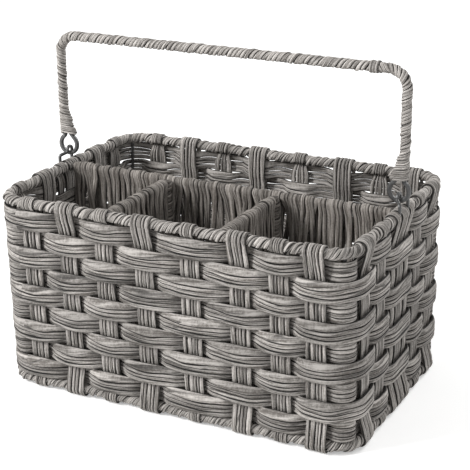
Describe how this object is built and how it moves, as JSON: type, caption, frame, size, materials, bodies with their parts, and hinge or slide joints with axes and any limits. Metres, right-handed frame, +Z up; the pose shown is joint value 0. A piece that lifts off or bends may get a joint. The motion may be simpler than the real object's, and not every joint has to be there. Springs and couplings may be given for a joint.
{
  "type": "cutlery basket",
  "caption": "Woven paper-cord basket over a wire frame, divided for standing cutlery, with a swinging cord-bound wire handle.",
  "frame": {"origin": "on the table, under the middle of the basket", "axes": "+X along the basket's length and the handle's hinge line, -Y towards the side with the three small compartments, +Z up"},
  "size_m": [0.2664, 0.1804, 0.2337],
  "materials": {
    "weaver_cord": "matte twisted paper cord with fine creases along it",
    "stake_cord": "matte twisted paper cord with fine creases along it",
    "binding_cord": "matte twisted paper cord, wound round the wire",
    "inner_cord": "matte twisted paper cord, pulled over the divider wire",
    "frame_wire": "dark grey coated wire",
    "handle_wire": "dark grey coated wire, satin"
  },
  "bodies": {
    "basket": {"top_hoop": "frame_wire", "bottom_hoop": "frame_wire", "top_hoop_binding": "binding_cord", "bottom_hoop_binding": "binding_cord", "front_corner_post": "frame_wire", "right_corner_post": "frame_wire", "back_corner_post": "frame_wire", "left_corner_post": "frame_wire", "weaver_row_1": "weaver_cord", "weaver_row_2": "weaver_cord", "weaver_row_3": "weaver_cord", "weaver_row_4": "weaver_cord", "weaver_row_5": "weaver_cord", "weaver_row_6": "weaver_cord", "weaver_row_7": "weaver_cord", "weaver_row_8": "weaver_cord", "weaver_row_9": "weaver_cord", "front_stake_1": "stake_cord", "front_stake_2": "stake_cord", "front_stake_3": "stake_cord", "front_stake_4": "stake_cord", "front_stake_5": "stake_cord", "front_stake_6": "stake_cord", "front_stake_7": "stake_cord", "front_stake_8": "stake_cord", "right_stake_1": "stake_cord", "right_stake_2": "stake_cord", "right_stake_3": "stake_cord", "right_stake_4": "stake_cord", "right_stake_5": "stake_cord", "back_stake_1": "stake_cord", "back_stake_2": "stake_cord", "back_stake_3": "stake_cord", "back_stake_4": "stake_cord", "back_stake_5": "stake_cord", "back_stake_6": "stake_cord", "back_stake_7": "stake_cord", "back_stake_8": "stake_cord", "left_stake_1": "stake_cord", "left_stake_2": "stake_cord", "left_stake_3": "stake_cord", "left_stake_4": "stake_cord", "left_stake_5": "stake_cord", "floor_mat": "inner_cord", "long_divider_frame": "frame_wire", "left_cross_divider_frame": "frame_wire", "right_cross_divider_frame": "frame_wire", "long_divider_cords": "inner_cord", "left_cross_divider_cords": "inner_cord", "right_cross_divider_cords": "inner_cord", "left_divider_post_wrap": "inner_cord", "right_divider_post_wrap": "inner_cord", "right_handle_loop": "handle_wire", "left_handle_loop": "handle_wire"},
    "handle": {"handle_wire": "handle_wire", "handle_winding": "binding_cord"}
  },
  "joints": [
    {"name": "handle_swing", "type": "hinge", "parent": "basket", "child": "handle", "pos_m": [0, 0, 0.14522], "axis": [1, 0, 0], "range_deg": [-90, 90]}
  ]
}
